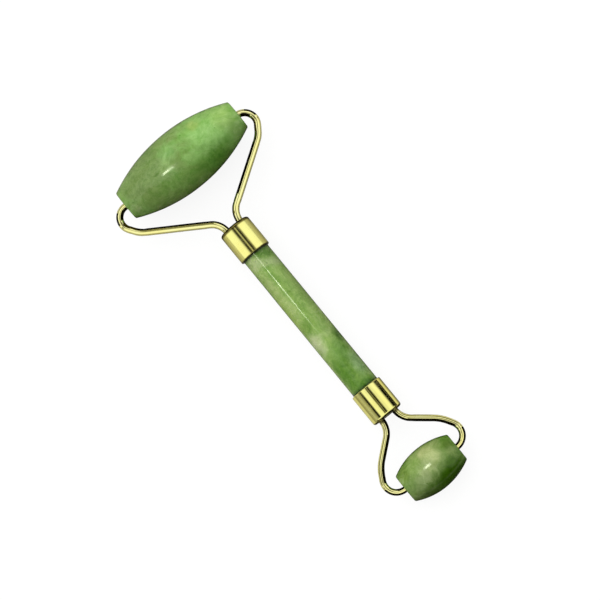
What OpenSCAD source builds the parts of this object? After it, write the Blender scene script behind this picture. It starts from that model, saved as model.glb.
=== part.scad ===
/*
  Two-ended face roller: a slim stone handle with a metal ferrule at each end,
  a spring wire yoke in each ferrule, and a barrel of polished stone turning
  freely between the tips of each yoke.

  Frame: the origin is the middle of the handle, on its axis.
  +X runs along the handle towards the big roller, +Y runs along both roller
  axles, +Z is up when the tool lies flat. Lengths are in millimetres.
*/

/* [Handle] */
// Diameter of the stone rod
handle_d = 9.6; // [8:0.1:12]
// Length of rod that shows between the two ferrules
handle_show = 55.5; // [45:0.1:90]
// Length of rod glued inside each ferrule
handle_in = 5.2; // [4:0.1:5.5]
// Bevel on the rod's hidden ends
handle_bevel = 0.3; // [0.1:0.05:0.6]

/* [Ferrules] */
// Outside diameter minus the rod's diameter
ferrule_step = 1.4; // [1.2:0.1:2.4]
// Length from the open rim to the closed face
ferrule_len = 11.2; // [10.8:0.1:14]
// Thickness of the closed face
ferrule_face = 1.3; // [0.9:0.1:1.4]
// Glue line between the rod and the ferrule's bore
glue_gap = 0.1; // [0.05:0.01:0.15]
// Rounding of the edge around the closed face
ferrule_round = 0.8; // [0.3:0.05:1]
// Rounding of the open rim's outer edge
rim_round = 0.3; // [0.1:0.01:0.35]
// Distance of each wire leg from the handle's axis where it leaves the face
leg_y = 2.65; // [2.5:0.05:2.75]

/* [Big yoke] */
// Wire diameter of the big yoke
big_wire_d = 2.4; // [1.8:0.05:2.6]
// Distance from the ferrule's closed face to the big roller's axle
big_reach = 27.35; // [27.2:0.05:29]
// Half of the yoke's width, to the wire's centreline
big_half_w = 27.37; // [27.3:0.01:28.2]
// Angle of the sloping leg from the handle's axis, in degrees
big_slope = 57; // [56:0.1:58.5]
// Bend radius at the root of the leg
big_root_r = 6.4; // [5:0.1:7]
// Bend radius at the shoulder of the leg
big_shoulder_r = 8.8; // [6:0.1:11]
// Turn of the shoulder bend, in degrees
big_shoulder_turn = 23; // [16:0.5:26]
// Bend radius at the tip
big_tip_r = 4.2; // [3.8:0.1:4.3]
// Length of straight tip inside the stone
big_tip_in = 9; // [7:0.1:12]

/* [Small yoke] */
// Wire diameter of the small yoke
small_wire_d = 2.2; // [1.8:0.05:2.4]
// Distance from the ferrule's closed face to the small roller's axle
small_reach = 21.5; // [21.3:0.05:24]
// Half of the yoke's width, to the wire's centreline
small_half_w = 15.03; // [14.9:0.01:15.4]
// Angle of the sloping leg from the handle's axis, in degrees
small_slope = 50.4; // [49:0.1:53]
// Bend radius at the root of the leg
small_root_r = 6.9; // [6:0.1:8.4]
// Bend radius at the shoulder of the leg
small_shoulder_r = 13.5; // [9:0.1:16]
// Turn of the shoulder bend, in degrees
small_shoulder_turn = 20.5; // [14:0.5:23]
// Bend radius at the tip
small_tip_r = 4.4; // [3.8:0.1:4.5]
// Length of straight tip inside the stone
small_tip_in = 7; // [6:0.1:9]

/* [Big roller] */
// Length of the barrel
big_len = 46.5; // [44:0.1:46.6]
// Diameter at the barrel's middle
big_mid_d = 20.7; // [18:0.1:26]
// Diameter where the barrel's arc meets its end faces
big_end_d = 10.2; // [9:0.1:12]
// Rounding between barrel and end face
big_round = 0.7; // [0.2:0.05:1]
// Where the roller lies within its end float, from the middle of its axle
big_float = -0.6; // [-0.65:0.05:0.65]

/* [Small roller] */
// Length of the barrel
small_len = 21.1; // [20:0.1:21.3]
// Diameter at the barrel's middle
small_mid_d = 15.3; // [14:0.1:19]
// Diameter where the barrel's arc meets its end faces
small_end_d = 9.9; // [9:0.1:11]
// Rounding between barrel and end face
small_round = 0.7; // [0.2:0.05:1]

/* [Bushes] */
// Wall of each nylon bush
bush_wall = 0.85; // [0.7:0.05:1]
// Radial running clearance between wire tip and bush
bush_clear = 0.05; // [0.02:0.01:0.1]
// Length of a bush in the big roller
big_bush_len = 6; // [4:0.1:8]
// Length of a bush in the small roller
small_bush_len = 5; // [4:0.1:6]
// Depth of each bush below the stone's end face
bush_sink = 0.5; // [0.3:0.05:1]

/* [Hidden] */
$fn = 96;
barrel_fn = 720;          // facets of the long barrel arc

// Small allowances
hairpin_gap = 0.3;        // from the ferrule's cavity end back to the hairpin bend
leg_gap = 0.02;           // radial gap around a wire leg in its hole in the face
glue_inset = 0.5;         // glue stops this far inside the ferrule's rim
lap = 0.05;               // straight runs of wire lap into the bends
slack = 0.01;             // and are this much finer
tip_bevel = 0.3;          // broken edge at the cut end of the wire
mouth_bevel = 0.3;        // broken edge around a roller's bore
bush_bevel = 0.2;         // on a bush's outer end
touch_margin = 0.004;     // extra easing radius, so that the arcs cross cleanly
over = 1;                 // how far cutters run past what they cut

// Distances from the middle of the handle, alike at both ends
rim_x = handle_show / 2;              // open rim of each ferrule
face_x = rim_x + ferrule_len;         // closed face of each ferrule
cavity_x = face_x - ferrule_face;     // inner side of the closed face
hairpin_x = cavity_x - hairpin_gap;   // where the legs turn into the hairpin
rod_x = rim_x + handle_in;            // end of the rod

ferrule_r = (handle_d + ferrule_step) / 2;
ferrule_bore_r = handle_d / 2 + glue_gap;

// Radii of a bush's hole and of the stone's bore around the bush
function bush_hole_r(wire_d) = wire_d / 2 + bush_clear;
function bore_r(wire_d) = bush_hole_r(wire_d) + bush_wall;

stone_green = [0.48, 0.62, 0.42];
gold = [0.86, 0.72, 0.34];
nylon_white = [0.9, 0.89, 0.84];
glue_amber = [0.8, 0.74, 0.55];

// ---- placing ---------------------------------------------------------------

// Turn a shape's +Z to +X.
module along_x() { rotate([0, 90, 0]) children(); }

// Turn a shape's +Z to -Y.
module along_y() { rotate([90, 0, 0]) children(); }

module at_big_axle() {
    translate([face_x + big_reach, big_float, 0]) children();
}

module at_small_axle() {
    translate([-(face_x + small_reach), 0, 0]) children();
}

// ---- wire yoke, built at the +X end ----------------------------------------
// An arm is a chain of straight and bent runs. Each starts at the local origin
// heading +X, and its children carry on from its end.

module run(wire_d, len) {
    translate([-lap, 0, 0]) along_x()
        cylinder(d = wire_d - slack, h = len + 2 * lap);
    translate([len, 0, 0]) children();
}

module bend_left(wire_d, radius, turn) {
    translate([0, radius, 0]) rotate([0, 0, -90])
        rotate_extrude(angle = turn) translate([radius, 0]) circle(d = wire_d);
    translate([0, radius, 0]) rotate([0, 0, turn]) translate([0, -radius, 0]) children();
}

module bend_right(wire_d, radius, turn) {
    translate([0, -radius, 0]) rotate([0, 0, 90 - turn])
        rotate_extrude(angle = turn) translate([radius, 0]) circle(d = wire_d);
    translate([0, -radius, 0]) rotate([0, 0, -turn]) translate([0, radius, 0]) children();
}

// End of the wire with its cut edge broken, a little finer than the run it joins.
module tip_end(wire_d) {
    along_x() cylinder(d1 = wire_d - 4 * slack, d2 = wire_d - 2 * tip_bevel, h = tip_bevel);
}

// Travel [x, y] of a bend between two headings in degrees,
// turning left where the heading grows and right where it falls.
function bend_travel(radius, from, to) =
    radius * sign(to - from) * [sin(to) - sin(from), cos(from) - cos(to)];

// Lengths of the two straight runs, root to shoulder and shoulder to tip bend,
// that make up what the three bends leave of the way to the end of the tip bend.
function straight_lens(reach, half_w, slope, root_r, shoulder_r, shoulder_turn, tip_r) =
    let (outer = slope - shoulder_turn,  // heading after the shoulder
         rest = [reach, half_w - tip_r - leg_y]
                - bend_travel(root_r, 0, slope)
                - bend_travel(shoulder_r, slope, outer)
                - bend_travel(tip_r, outer, -90),
         det = cos(slope) * sin(outer) - sin(slope) * cos(outer))
    [(rest.x * sin(outer) - rest.y * cos(outer)) / det,
     (rest.y * cos(slope) - rest.x * sin(slope)) / det];

// The arm on the +Y side.
module arm(wire_d, reach, half_w, slope, root_r, shoulder_r, shoulder_turn, tip_r,
           roller_len, tip_in) {
    lens = straight_lens(reach, half_w, slope, root_r, shoulder_r, shoulder_turn, tip_r);
    inward_len = (half_w - tip_r) - (roller_len / 2 - tip_in) - tip_bevel;
    translate([hairpin_x, leg_y, 0])
        run(wire_d, face_x - hairpin_x)
        bend_left(wire_d, root_r, slope)
        run(wire_d, lens[0])
        bend_right(wire_d, shoulder_r, shoulder_turn)
        run(wire_d, lens[1])
        bend_right(wire_d, tip_r, slope - shoulder_turn + 90)
        run(wire_d, inward_len)
        tip_end(wire_d);
}

// Half ring that joins the two legs inside the ferrule.
module hairpin(wire_d) {
    translate([hairpin_x, 0, 0]) rotate([0, 0, 90])
        rotate_extrude(angle = 180) translate([leg_y, 0]) circle(d = wire_d);
}

// Whole yoke: the hidden hairpin and two mirrored arms.
module yoke(wire_d, reach, half_w, slope, root_r, shoulder_r, shoulder_turn, tip_r,
            roller_len, tip_in) {
    hairpin(wire_d);
    for (side = [0, 1])
        mirror([0, side, 0])
            arm(wire_d, reach, half_w, slope, root_r, shoulder_r, shoulder_turn, tip_r,
                roller_len, tip_in);
}

// ---- ferrule and glue, built at the +X end ---------------------------------

// Two straight rods on the lines of the wire legs, used as cutters.
module leg_pair(rod_d, start_x, len) {
    for (y = [-leg_y, leg_y])
        translate([start_x, y, 0]) along_x() cylinder(d = rod_d, h = len);
}

// Outer half profile: x is the radius, y the place along the handle.
module ferrule_profile() {
    difference() {
        translate([0, rim_x]) square([ferrule_r, ferrule_len]);
        // edge around the closed face
        translate([ferrule_r - ferrule_round, face_x - ferrule_round])
            difference() {
                square(ferrule_round + over);
                circle(r = ferrule_round);
            }
        // outer edge of the open rim
        translate([ferrule_r - rim_round, rim_x + rim_round])
            difference() {
                translate([0, -rim_round - over]) square(rim_round + over);
                circle(r = rim_round);
            }
    }
}

// A cup that opens towards the handle, with two holes for the wire legs.
module ferrule(wire_d) {
    difference() {
        along_x() rotate_extrude() ferrule_profile();
        translate([rim_x - over, 0, 0]) along_x()
            cylinder(r = ferrule_bore_r, h = cavity_x - rim_x + over);
        leg_pair(wire_d + 2 * leg_gap, cavity_x - over, ferrule_face + 2 * over);
    }
}

// Glue: a thin sleeve around the rod and a plug that sets the hairpin.
module ferrule_glue(wire_d) {
    difference() {
        translate([rim_x + glue_inset, 0, 0]) along_x()
            cylinder(r = ferrule_bore_r, h = cavity_x - rim_x - glue_inset);
        handle_rod();
        hairpin(wire_d);
        leg_pair(wire_d, hairpin_x, face_x - hairpin_x);
    }
}

// ---- stones and bushes -----------------------------------------------------

module handle_rod() {
    full_x = rod_x - handle_bevel;
    end_d = handle_d - 2 * handle_bevel;
    along_x() {
        translate([0, 0, -full_x]) cylinder(d = handle_d, h = 2 * full_x);
        translate([0, 0, full_x]) cylinder(d1 = handle_d, d2 = end_d, h = handle_bevel);
        translate([0, 0, -rod_x]) cylinder(d1 = end_d, d2 = handle_d, h = handle_bevel);
    }
}

// Half profile of a barrel: one arc from end to end, eased into the flat
// end faces by a small arc that touches both.
module barrel_profile(len, mid_d, end_d, ease_r) {
    half_len = len / 2;
    sag = (mid_d - end_d) / 2;
    arc_r = (half_len * half_len + sag * sag) / (2 * sag);
    arc_x = mid_d / 2 - arc_r;               // centre of the long arc, at y = 0
    ease_y = half_len - ease_r;              // centre of the small arc
    ease_x = arc_x + sqrt(pow(arc_r - ease_r, 2) - ease_y * ease_y);
    stretch = arc_r / (arc_r - ease_r);
    touch_x = arc_x + (ease_x - arc_x) * stretch;  // where the two arcs touch
    touch_y = ease_y * stretch;
    corner_reach = 3;                        // cutter's extent beyond the corner
    outer_x = touch_x + corner_reach * (touch_x - ease_x) / ease_r;
    outer_y = touch_y + corner_reach * (touch_y - ease_y) / ease_r;
    intersection() {
        translate([0, -half_len]) square([mid_d, len]);
        difference() {
            translate([arc_x, 0]) circle(r = arc_r, $fn = barrel_fn);
            for (side = [-1, 1])
                difference() {
                    polygon([[ease_x, side * ease_y],
                             [ease_x, side * (half_len + over)],
                             [ease_x + corner_reach, side * (half_len + over)],
                             [outer_x, side * outer_y]]);
                    translate([ease_x, side * ease_y]) circle(r = ease_r + touch_margin);
                }
        }
    }
}

// Barrel centred on the origin with its axle along Y.
module roller_stone(len, mid_d, end_d, ease_r, wire_d) {
    stone_bore_r = bore_r(wire_d);
    difference() {
        along_y() rotate_extrude() barrel_profile(len, mid_d, end_d, ease_r);
        along_y() translate([0, 0, -len / 2 - over])
            cylinder(r = stone_bore_r, h = len + 2 * over);
        // mouth of the bore, broken so that the stone does not chip
        for (side = [0, 1])
            mirror([0, side, 0]) translate([0, len / 2, 0])
                along_y() translate([0, 0, -mouth_bevel])
                    cylinder(r1 = stone_bore_r + 2 * mouth_bevel, r2 = stone_bore_r,
                             h = 2 * mouth_bevel);
    }
}

// Bush: a plain sleeve with its outer end bevelled, on the +Y side for
// side 1 and on the -Y side for side -1.
module bush(roller_len, wire_d, len, side) {
    outer_r = bore_r(wire_d);
    mirror([0, side < 0 ? 1 : 0, 0])
        translate([0, roller_len / 2 - bush_sink, 0]) along_y()
            difference() {
                union() {
                    cylinder(r1 = outer_r - bush_bevel, r2 = outer_r, h = bush_bevel);
                    translate([0, 0, bush_bevel]) cylinder(r = outer_r, h = len - bush_bevel);
                }
                translate([0, 0, -over])
                    cylinder(r = bush_hole_r(wire_d), h = len + 2 * over);
            }
}

module big_bush(side) {
    color(nylon_white) at_big_axle() bush(big_len, big_wire_d, big_bush_len, side);
}

module small_bush(side) {
    color(nylon_white) at_small_axle() bush(small_len, small_wire_d, small_bush_len, side);
}

// ---- nodes -----------------------------------------------------------------

module handle_stone() { color(stone_green) handle_rod(); }
module big_ferrule() { color(gold) ferrule(big_wire_d); }
module small_ferrule() { color(gold) mirror([1, 0, 0]) ferrule(small_wire_d); }
module big_ferrule_epoxy() { color(glue_amber) ferrule_glue(big_wire_d); }
module small_ferrule_epoxy() { color(glue_amber) mirror([1, 0, 0]) ferrule_glue(small_wire_d); }
module big_yoke_wire() {
    color(gold)
        yoke(big_wire_d, big_reach, big_half_w, big_slope, big_root_r, big_shoulder_r,
             big_shoulder_turn, big_tip_r, big_len, big_tip_in);
}
module small_yoke_wire() {
    color(gold) mirror([1, 0, 0])
        yoke(small_wire_d, small_reach, small_half_w, small_slope, small_root_r,
             small_shoulder_r, small_shoulder_turn, small_tip_r, small_len, small_tip_in);
}
module big_roller_stone() {
    color(stone_green) at_big_axle()
        roller_stone(big_len, big_mid_d, big_end_d, big_round, big_wire_d);
}
module small_roller_stone() {
    color(stone_green) at_small_axle()
        roller_stone(small_len, small_mid_d, small_end_d, small_round, small_wire_d);
}
module big_roller_bush_left() { big_bush(1); }
module big_roller_bush_right() { big_bush(-1); }
module small_roller_bush_left() { small_bush(1); }
module small_roller_bush_right() { small_bush(-1); }

handle_stone();
big_ferrule();
small_ferrule();
big_ferrule_epoxy();
small_ferrule_epoxy();
big_yoke_wire();
small_yoke_wire();
big_roller_stone();
small_roller_stone();
big_roller_bush_left();
big_roller_bush_right();
small_roller_bush_left();
small_roller_bush_right();
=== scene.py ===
# A two-ended stone roller. The handle lies along X with its middle at the origin; the big
# roller is at +X and the small one at -X, and both turn on axles parallel to Y. Z is up.
# Dimensions are millimetres unless a comment says otherwise; meshes are built in metres.
import math
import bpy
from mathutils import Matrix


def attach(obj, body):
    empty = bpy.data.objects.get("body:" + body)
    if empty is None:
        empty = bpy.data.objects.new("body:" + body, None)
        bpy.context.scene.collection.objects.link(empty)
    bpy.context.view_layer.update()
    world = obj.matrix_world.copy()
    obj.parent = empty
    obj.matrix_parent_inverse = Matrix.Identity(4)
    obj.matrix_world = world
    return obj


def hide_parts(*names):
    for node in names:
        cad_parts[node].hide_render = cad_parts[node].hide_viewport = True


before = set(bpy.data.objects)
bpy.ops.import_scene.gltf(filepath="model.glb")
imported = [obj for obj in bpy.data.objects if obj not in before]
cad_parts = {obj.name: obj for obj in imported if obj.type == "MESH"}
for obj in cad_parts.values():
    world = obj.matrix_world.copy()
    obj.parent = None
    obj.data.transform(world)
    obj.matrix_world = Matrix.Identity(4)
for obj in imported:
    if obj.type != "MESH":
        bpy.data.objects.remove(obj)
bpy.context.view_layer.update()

from types import SimpleNamespace

import bmesh
import bpy
import numpy as np
from mathutils import Matrix, Vector, geometry, noise

MM = 0.001

# ---------------------------------------------------------------- dimensions
HANDLE_R, HANDLE_END_X, HANDLE_BEVEL = 4.8, 32.95, 0.3
FERRULE_R, BORE_R = 5.5, 4.9
RIM_X, FACE_X = 27.75, 38.95        # open rim and closed face of a ferrule
CAVITY_X = FACE_X - 1.3             # floor of the cup, behind the face
HAIRPIN_X = 37.35                   # where the wire's legs leave the hidden hairpin
FACE_ROUND, RIM_ROUND = 0.8, 0.3
LEG_Y = 2.65                        # each leg of the wire passes the face at +-LEG_Y

# The two ends of the tool. side: its sign along X; axle: X of the axle.
# wire: wire diameter; half_width: widest Y of its centreline; slope, turn: degrees that the
# root bend takes and the shoulder bend gives back; root_r, shoulder_r, tip_r: bend radii;
# tip_in: how far the wire enters the roller.
# off_y: shift of the stone along Y; length, mid_d, end_d: its length and diameters;
# edge_r: radius of its edges; bore_r: radius of its bore.
BIG = SimpleNamespace(
    side=1, axle=66.3, wire=2.4, half_width=27.37, slope=57.0, turn=23.0,
    root_r=6.4, shoulder_r=8.8, tip_r=4.2, tip_in=9.0,
    off_y=-0.6, length=46.5, mid_d=20.7, end_d=10.2, edge_r=0.7, bore_r=2.10)
SMALL = SimpleNamespace(
    side=-1, axle=-60.45, wire=2.2, half_width=15.03, slope=50.4, turn=20.5,
    root_r=6.9, shoulder_r=13.5, tip_r=4.4, tip_in=7.0,
    off_y=0.0, length=21.1, mid_d=15.3, end_d=9.9, edge_r=0.7, bore_r=2.00)


# ---------------------------------------------------------------- mesh helpers
def new_object(name, verts, faces):
    """A smooth mesh object from millimetre points, with its normals facing out."""
    mesh = bpy.data.meshes.new(name)
    mesh.from_pydata([tuple(c * MM for c in v) for v in verts], [], faces)
    bm = bmesh.new()
    bm.from_mesh(mesh)
    bmesh.ops.remove_doubles(bm, verts=bm.verts, dist=1e-8)
    bmesh.ops.recalc_face_normals(bm, faces=bm.faces)
    bm.to_mesh(mesh)
    bm.free()
    mesh.validate()
    for polygon in mesh.polygons:
        polygon.use_smooth = True
    obj = bpy.data.objects.new(name, mesh)
    bpy.context.scene.collection.objects.link(obj)
    return obj


def sin_deg(angle):
    return math.sin(math.radians(angle))


def cos_deg(angle):
    return math.cos(math.radians(angle))


def arc(centre_x, centre_y, radius, start, end, count):
    """count + 1 points of an arc, angles in degrees."""
    angles = [start + (end - start) * i / count for i in range(count + 1)]
    return [(centre_x + radius * cos_deg(a), centre_y + radius * sin_deg(a)) for a in angles]


def line(start, end, count):
    """Points from start to end, without start and with end."""
    return [(start[0] + (end[0] - start[0]) * i / count,
             start[1] + (end[1] - start[1]) * i / count) for i in range(1, count + 1)]


def tidy(ring):
    """The ring without points that repeat."""
    out = []
    for point in ring:
        if not out or math.dist(point, out[-1]) > 1e-5:
            out.append(point)
    if math.dist(out[0], out[-1]) < 1e-5:
        out.pop()
    return out


def bridge(faces, ring_a, ring_b, count):
    """Quads between two closed rings, each given by its first index."""
    for s in range(count):
        t = (s + 1) % count
        faces.append((ring_a + s, ring_a + t, ring_b + t, ring_b + s))


def close_end(verts, faces, ring, count, shares):
    """Fill a ring: smaller rings at these shares of its size, then a fan."""
    rim = np.array(verts[ring:ring + count])
    centre = rim.mean(axis=0)
    for share in shares:
        smaller = len(verts)
        verts.extend(centre + (rim - centre) * share)
        bridge(faces, ring, smaller, count)
        ring = smaller
    verts.append(centre)
    for s in range(count):
        faces.append((ring + s, ring + (s + 1) % count, len(verts) - 1))


def hand_ground(point, seed, amount):
    """Slow unevenness of a surface ground and polished by hand, in mm."""
    wide = Vector(point) * 0.085 + Vector((seed, seed * 1.7, -seed))
    fine = Vector(point) * 0.23 + Vector((-seed, 3.1, seed))
    return amount * (noise.noise(wide) + 0.35 * noise.noise(fine))


# ---------------------------------------------------------------- stones
def barrel_curve(head):
    """Half length of a roller, and the radius and centre (from the axle) of its long arc."""
    half, sag = head.length / 2, (head.mid_d - head.end_d) / 2
    radius = (half * half + sag * sag) / (2 * sag)
    return half, radius, head.mid_d / 2 - radius


def barrel_ring(head):
    """Closed section of a roller: (radius, place along the axle)."""
    half, curve_r, curve_x = barrel_curve(head)
    edge_r, bore = head.edge_r, head.bore_r
    edge_y = half - edge_r
    edge_x = curve_x + math.sqrt((curve_r - edge_r) ** 2 - edge_y * edge_y)
    reach = math.degrees(math.atan2(edge_y, edge_x - curve_x))
    outer = arc(curve_x, 0, curve_r, -reach, reach, 150)
    corner = arc(edge_x, edge_y, edge_r, reach, 90, 12)
    # flat end, then the softened bevel at the mouth of the bore
    mouth = 0.3
    face = line(corner[-1], (bore + mouth + 0.06, half), 8)
    bevel_start = (bore + mouth - 0.03, half - 0.035)
    bevel = line(face[-1], bevel_start, 2)
    bevel += line(bevel_start, (bore + 0.03, half - mouth + 0.03), 3)
    bore_start = (bore, half - mouth - 0.05)
    upper = corner[1:] + face + bevel + [bore_start]
    lower = [(r, -y) for r, y in reversed(upper)]
    inside = line(bore_start, (bore, -bore_start[1]), 24)[:-1]
    return tidy(outer + upper + inside + lower)


def roller(name, head, seed, amount):
    """A turned barrel; amount is the depth of its unevenness."""
    ring = barrel_ring(head)
    segs = 240
    half = head.length / 2
    ground_r = head.bore_r + 0.5    # the stone is uneven outside this radius
    verts, faces = [], []
    for s in range(segs):
        angle = 2 * math.pi * s / segs
        cos_a, sin_a = math.cos(angle), math.sin(angle)
        for r, y in ring:
            point = [head.axle + r * cos_a, y, r * sin_a]
            if r > ground_r:
                push = hand_ground(point, seed, amount)
                # slow bands along the barrel
                push += amount * 0.35 * math.sin(y * 0.42 + seed) * math.cos(2 * angle + seed)
                push = (push - amount) * min(1.0, (r - ground_r) / 1.5) * 0.8
                # near the ends the push turns from outwards to along the axle
                radial = min(1.0, max(0.0, (half - abs(y)) / 0.7))
                point[0] += push * cos_a * radial
                point[2] += push * sin_a * radial
                point[1] += math.copysign(push * 0.5 * (1 - radial), push * y)
            point[1] += head.off_y
            verts.append(point)
    count = len(ring)
    for s in range(segs):
        bridge(faces, s * count, (s + 1) % segs * count, count)
    return new_object(name, verts, faces)


def handle(name):
    """The rod: a slightly uneven cylinder of stone with bevelled, flat ends."""
    segs, steps = 192, 200
    body_x = -HANDLE_END_X + HANDLE_BEVEL + 0.08
    # (x, radius) along the rod
    bevel = [(-HANDLE_END_X, HANDLE_R - HANDLE_BEVEL),
             (-HANDLE_END_X + 0.06, HANDLE_R - HANDLE_BEVEL + 0.1),
             (-HANDLE_END_X + HANDLE_BEVEL - 0.05, HANDLE_R - 0.03),
             (body_x, HANDLE_R)]
    stations = bevel + [(body_x - 2 * body_x * i / steps, HANDLE_R) for i in range(1, steps)]
    stations += [(-x, r) for x, r in reversed(bevel)]
    verts, faces = [], []
    for x, r in stations:
        for s in range(segs):
            angle = 2 * math.pi * s / segs
            y, z = r * math.cos(angle), r * math.sin(angle)
            push = 0.0
            if abs(x) < HANDLE_END_X - 0.5:
                push = hand_ground((x, y, z), 4.2, 0.022) - 0.022
                push += 0.010 * math.sin(x * 0.16 + 0.7) - 0.010
            verts.append((x, y + push * math.cos(angle), z + push * math.sin(angle)))
    last = len(stations) - 1
    for k in range(last):
        bridge(faces, k * segs, (k + 1) * segs, segs)
    for k in (0, last):
        close_end(verts, faces, k * segs, segs, (0.75, 0.45, 0.15))
    return new_object(name, verts, faces)


# ---------------------------------------------------------------- wire yokes
def yoke_path(head):
    """Centreline of half a yoke, from the middle of the hairpin to the tip, as if the end
    lay at +X: (x, y, bend strength)."""
    x, y, heading = HAIRPIN_X - LEG_Y, 0.0, 90.0
    points = [(x, y, 1.0)]

    def step(length, direction, strength):
        nonlocal x, y
        x += length * cos_deg(direction)
        y += length * sin_deg(direction)
        points.append((x, y, strength))

    def run(length):
        count = max(2, round(length / 0.45))
        for _ in range(count):
            step(length / count, heading, 0.0)

    def bend(radius, angle):
        nonlocal heading
        count = max(4, round(abs(angle) / 2.5))
        turn = angle / count
        for _ in range(count):
            step(2 * radius * sin_deg(abs(turn) / 2), heading + turn / 2, min(1.0, 6.0 / radius))
            heading += turn

    bend(LEG_Y, -90)
    run(FACE_X - HAIRPIN_X)
    slope, slope2 = head.slope, head.slope - head.turn
    sin1, cos1, sin2, cos2 = sin_deg(slope), cos_deg(slope), sin_deg(slope2), cos_deg(slope2)
    reach = abs(head.axle) - FACE_X
    # the two straight runs cover what the bends leave of the way to the axle and the width
    left_x = (reach - head.root_r * sin1 - head.shoulder_r * (sin1 - sin2)
              - head.tip_r * (sin2 + 1))
    left_y = (head.half_width - head.tip_r - LEG_Y - head.root_r * (1 - cos1)
              - head.shoulder_r * (cos2 - cos1) - head.tip_r * (-cos2))
    det = cos1 * sin2 - sin1 * cos2
    bend(head.root_r, slope)
    run((left_x * sin2 - left_y * cos2) / det)
    bend(head.shoulder_r, -head.turn)
    run((left_y * cos1 - left_x * sin1) / det)
    bend(head.tip_r, -(slope2 + 90))
    run((head.half_width - head.tip_r) - (head.length / 2 - head.tip_in))
    return points


def smooth_bends(values, reach):
    """Bend strength eased along the wire, so that the section changes slowly."""
    kernel = np.hanning(2 * reach + 1)
    kernel /= kernel.sum()
    padded = np.pad(np.array(values, float), reach, mode="edge")
    return np.convolve(padded, kernel, mode="valid")


def yoke(name, head, seed):
    """A bent wire, a little uneven, with rounded ends."""
    half = yoke_path(head)
    path = [(x, -y, strength) for x, y, strength in reversed(half[1:])] + half
    centres = np.array([p[:2] for p in path])
    tangents = np.gradient(centres, axis=0)
    tangents /= np.linalg.norm(tangents, axis=1)[:, None]
    strengths = smooth_bends([p[2] for p in path], 4)
    steps = np.linalg.norm(np.diff(centres, axis=0), axis=1)
    walk = np.concatenate([[0], np.cumsum(steps)])
    radius = head.wire / 2
    segs = 48
    verts, faces, along = [], [], []

    # a shallow flat where each bend outside the ferrule starts and ends
    marks = [walk[i] for i in range(1, len(path))
             if (path[i][2] > 0) != (path[i - 1][2] > 0) and path[i][0] > FACE_X + 1.0]
    mark_reach = 1.1

    def section(k, scale, shift):
        x, y = centres[k]
        tx, ty = tangents[k]
        nx, ny = -ty, tx
        mm = walk[k]
        strength = strengths[k]
        # hand-bent wire is never quite straight
        sway = lift = 0.0
        if FACE_X + 3 < x < abs(head.axle) - 3:
            sway = 0.035 * noise.noise(Vector((mm * 0.11, seed, 0)))
            lift = 0.03 * noise.noise(Vector((mm * 0.09, seed + 9, 2.0)))
        dent = 0.0
        for mark in marks:
            gap = abs(mm - mark)
            if gap < mark_reach:
                depth = 0.045 * (0.6 + 0.4 * math.sin(mark * 5.1 + seed))
                dent += depth * math.cos(gap / mark_reach * math.pi / 2) ** 2
        for s in range(segs):
            angle = 2 * math.pi * s / segs
            cos_a, sin_a = math.cos(angle), math.sin(angle)
            r = radius * (1 - 0.022 * strength * cos_a ** 2 + 0.004 * strength * sin_a ** 2)
            rough_at = Vector((mm * 0.35, cos_a * 0.8 + seed, sin_a * 0.8))
            r += 0.006 * noise.noise(rough_at) - 0.006
            r -= dent * max(0.0, abs(cos_a) - 0.72) / 0.28
            r *= scale
            side_step = r * cos_a + sway
            verts.append((head.side * (x + tx * shift + nx * side_step),
                          y + ty * shift + ny * side_step, r * sin_a + lift))
            along.append(mm + shift)

    # (station, scale, shift along the wire): a rounded end, the wire, a rounded end
    last = len(path) - 1
    end_r, end_steps = 0.28, 6
    rounding = [(1 - end_r / radius * (1 - sin_deg(a)), end_r * (1 - cos_deg(a)))
                for a in (90 * i / end_steps for i in range(end_steps))]
    order = [(0, scale, shift) for scale, shift in rounding]
    order += [(k, 1.0, 0.0) for k in range(1, last)]
    order += [(last, scale, -shift) for scale, shift in reversed(rounding)]
    for k, scale, shift in order:
        section(k, scale, shift)
    end = (len(order) - 1) * segs
    for ring in range(0, end, segs):
        bridge(faces, ring, ring + segs, segs)
    for ring in (0, end):
        close_end(verts, faces, ring, segs, (0.6, 0.15))
        along += [along[ring]] * (len(verts) - len(along))
    obj = new_object(name, verts, faces)
    # merged points would put the values out of step with the mesh
    if len(obj.data.vertices) == len(along):
        attribute = obj.data.attributes.new("along", "FLOAT", "POINT")
        attribute.data.foreach_set("value", np.array(along, np.float32))
    return obj


# ---------------------------------------------------------------- ferrules
def ferrule_profile():
    """(radius, x) from the cup's floor along the bore, round the rim and on to the face."""
    bore_start, bore_run = CAVITY_X - 0.1, CAVITY_X - 0.1 - RIM_X - 0.12
    profile = [(BORE_R - 0.25, CAVITY_X), (BORE_R - 0.07, CAVITY_X - 0.02), (BORE_R, bore_start)]
    profile += [(BORE_R, bore_start - bore_run * i / 14) for i in range(1, 15)]
    profile += [(BORE_R + 0.01, RIM_X + 0.05), (BORE_R + 0.04, RIM_X + 0.015),
                (BORE_R + 0.10, RIM_X), (FERRULE_R - RIM_ROUND - 0.06, RIM_X)]
    profile += arc(FERRULE_R - RIM_ROUND, RIM_X + RIM_ROUND, RIM_ROUND, -90, 0, 10)
    wall_steps = 46
    wall_start, wall_end = RIM_X + RIM_ROUND, FACE_X - FACE_ROUND
    barrelling = 0.012
    for i in range(1, wall_steps):
        sink = barrelling * (2 * i / wall_steps - 1) ** 2 + 0.0006 * math.sin(i * 0.3)
        profile.append((FERRULE_R - sink,
                        wall_start + (wall_end - wall_start) * i / wall_steps))
    profile += [(FERRULE_R - FACE_ROUND + (FACE_ROUND - barrelling) * cos_deg(a),
                 wall_end + FACE_ROUND * sin_deg(a)) for a in range(0, 91, 6)]
    return profile


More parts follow.
